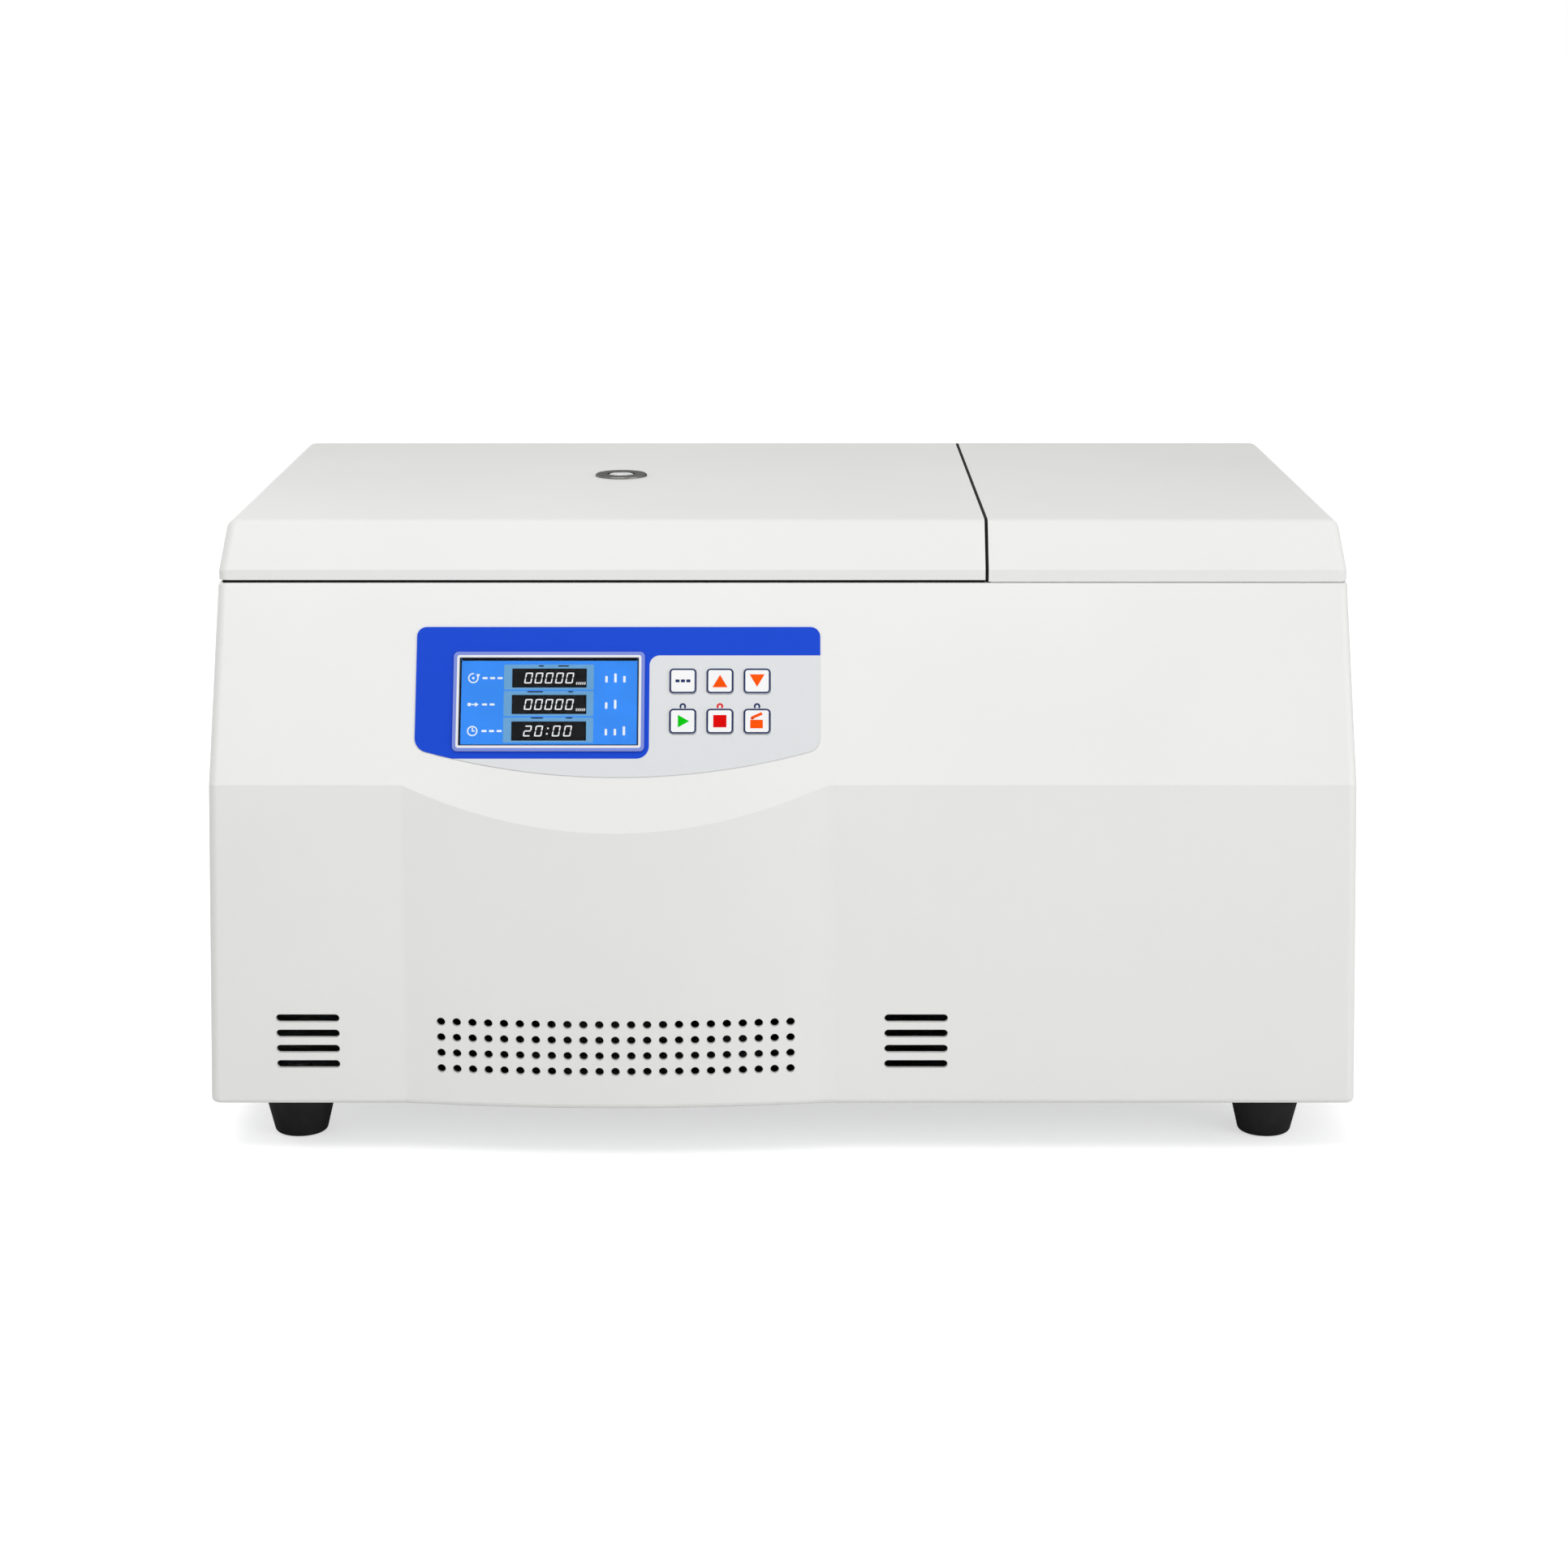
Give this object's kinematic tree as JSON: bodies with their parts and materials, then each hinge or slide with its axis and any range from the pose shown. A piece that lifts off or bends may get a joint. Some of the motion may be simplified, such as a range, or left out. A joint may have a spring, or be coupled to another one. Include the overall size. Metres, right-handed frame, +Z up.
{
  "type": "microplate centrifuge",
  "caption": "Bench centrifuge for microplates: wide moulded cabinet with a leaning keypad and display, hinged lid over a round chamber with a swing-out rotor, and a fixed side cover.",
  "frame": {"origin": "on the bench under the middle of the object's bounding box", "axes": "+X to the right seen from the front, where the keypad is on -Y; +Y to the back; +Z up"},
  "size_m": [0.706, 0.5598, 0.3911],
  "materials": {
    "casing": "fine-textured pale grey moulding",
    "lid_white": "fine-textured pale grey moulding",
    "rubber_black": "black moulded rubber",
    "zinc_steel": "zinc plated sheet steel",
    "stainless": "brushed stainless steel",
    "armour_steel": "grey primed steel plate",
    "screw_steel": "bright machined steel",
    "chrome_ring": "polished chrome",
    "clear_glass": "clear glass",
    "overlay_print": "blue and pale grey printed film",
    "frame_silver": "silver painted plastic",
    "clear_pane": "clear plastic pane",
    "screen": "lit blue display",
    "board_green": "green solder mask",
    "key_white": "white keys with printed symbols",
    "aluminium_cast": "bead-blasted aluminium",
    "motor_paint": "black powder coat",
    "lamination": "varnished steel laminations",
    "black_plastic": "black moulded plastic",
    "seal_rubber": "dark grey soft rubber"
  },
  "bodies": {
    "cabinet": {"housing": "casing", "base_plate": "zinc_steel", "rear_panel": "zinc_steel", "partition": "zinc_steel", "right_cover": "lid_white", "foot_front_left": "rubber_black", "foot_front_right": "rubber_black", "foot_rear_left": "rubber_black", "foot_rear_right": "rubber_black", "foot_screws": "screw_steel", "case_screws": "screw_steel", "hinge_brackets": "zinc_steel", "hinge_pins": "screw_steel", "lid_springs": "screw_steel", "latch_frames": "zinc_steel", "latch_pins": "screw_steel", "latch_solenoids": "black_plastic", "control_overlay": "overlay_print", "display_frame": "frame_silver", "display_window": "clear_pane", "display_module": "screen", "control_board": "board_green", "chamber_bowl": "stainless", "lid_seal": "seal_rubber", "guard_ring": "armour_steel", "motor_boot": "rubber_black", "motor_dampers": "rubber_black", "motor_plate": "armour_steel", "motor_housing": "motor_paint", "motor_stator": "lamination", "spindle_bearings": "screw_steel", "motor_drive": "motor_paint", "heat_sink": "aluminium_cast", "fan_frame": "black_plastic", "fan_guard": "screw_steel", "power_inlet": "black_plastic", "switch_frame": "black_plastic"},
    "lid": {"lid_shell": "lid_white", "lid_liner": "stainless", "lid_screws": "screw_steel", "viewport_ring": "chrome_ring", "viewport_glass": "clear_glass", "lid_arms": "zinc_steel", "lid_strikers": "screw_steel"},
    "rotor": {"spindle": "screw_steel", "rotor_yoke": "aluminium_cast", "trunnion_pins": "screw_steel", "rotor_nut": "aluminium_cast"},
    "carrier_left": {"carrier_left": "aluminium_cast"},
    "carrier_right": {"carrier_right": "aluminium_cast"},
    "latch_claw_left": {"latch_claw_left": "screw_steel"},
    "latch_claw_right": {"latch_claw_right": "screw_steel"},
    "fan": {"fan_impeller": "black_plastic"},
    "switch": {"switch_rocker": "black_plastic"},
    "key_set": {"key_set": "key_white"},
    "key_up": {"key_up": "key_white"},
    "key_down": {"key_down": "key_white"},
    "key_start": {"key_start": "key_white"},
    "key_stop": {"key_stop": "key_white"},
    "key_lid": {"key_lid": "key_white"}
  },
  "joints": [
    {"name": "lid_hinge", "type": "hinge", "parent": "cabinet", "child": "lid", "pos_m": [-0.109, 0.2315, 0.3615], "axis": [-1, 0, 0], "range_deg": [0, 75]},
    {"name": "rotor_spin", "type": "hinge", "parent": "cabinet", "child": "rotor", "pos_m": [-0.109, -0.005, 0.285], "axis": [0, 0, 1], "continuous": true},
    {"name": "carrier_left_swing", "type": "hinge", "parent": "rotor", "child": "carrier_left", "pos_m": [-0.197, -0.005, 0.285], "axis": [0, 1, 0], "range_deg": [-15, 90]},
    {"name": "carrier_right_swing", "type": "hinge", "parent": "rotor", "child": "carrier_right", "pos_m": [-0.021, -0.005, 0.285], "axis": [0, -1, 0], "range_deg": [-15, 90]},
    {"name": "latch_claw_left_turn", "type": "hinge", "parent": "cabinet", "child": "latch_claw_left", "pos_m": [-0.274, -0.166, 0.2963], "axis": [-1, 0, 0], "range_deg": [0, 20], "stiffness_Nm_per_rad": 0.5, "springref_deg": -17.19},
    {"name": "latch_claw_right_turn", "type": "hinge", "parent": "cabinet", "child": "latch_claw_right", "pos_m": [0.056, -0.166, 0.2963], "axis": [-1, 0, 0], "range_deg": [0, 20], "stiffness_Nm_per_rad": 0.5, "springref_deg": -17.19},
    {"name": "fan_spin", "type": "hinge", "parent": "cabinet", "child": "fan", "pos_m": [0.235, 0.25, 0.205], "axis": [0, 1, 0], "continuous": true},
    {"name": "switch_rock", "type": "hinge", "parent": "cabinet", "child": "switch", "pos_m": [0.225, 0.2715, 0.085], "axis": [1, 0, 0], "range_deg": [0, 14]},
    {"name": "key_set_press", "type": "slide", "parent": "cabinet", "child": "key_set", "axis": [0, 0.9135, -0.4067], "range_m": [0, 0.0008], "stiffness_N_per_m": 1500, "springref_m": -0.0003},
    {"name": "key_up_press", "type": "slide", "parent": "cabinet", "child": "key_up", "axis": [0, 0.9135, -0.4067], "range_m": [0, 0.0008], "stiffness_N_per_m": 1500, "springref_m": -0.0003},
    {"name": "key_down_press", "type": "slide", "parent": "cabinet", "child": "key_down", "axis": [0, 0.9135, -0.4067], "range_m": [0, 0.0008], "stiffness_N_per_m": 1500, "springref_m": -0.0003},
    {"name": "key_start_press", "type": "slide", "parent": "cabinet", "child": "key_start", "axis": [0, 0.9135, -0.4067], "range_m": [0, 0.0008], "stiffness_N_per_m": 1500, "springref_m": -0.0003},
    {"name": "key_stop_press", "type": "slide", "parent": "cabinet", "child": "key_stop", "axis": [0, 0.9135, -0.4067], "range_m": [0, 0.0008], "stiffness_N_per_m": 1500, "springref_m": -0.0003},
    {"name": "key_lid_press", "type": "slide", "parent": "cabinet", "child": "key_lid", "axis": [0, 0.9135, -0.4067], "range_m": [0, 0.0008], "stiffness_N_per_m": 1500, "springref_m": -0.0003}
  ],
  "couplings": [
    {"joint": "latch_claw_right_turn", "follows": "latch_claw_left_turn", "ratio": 1}
  ]
}
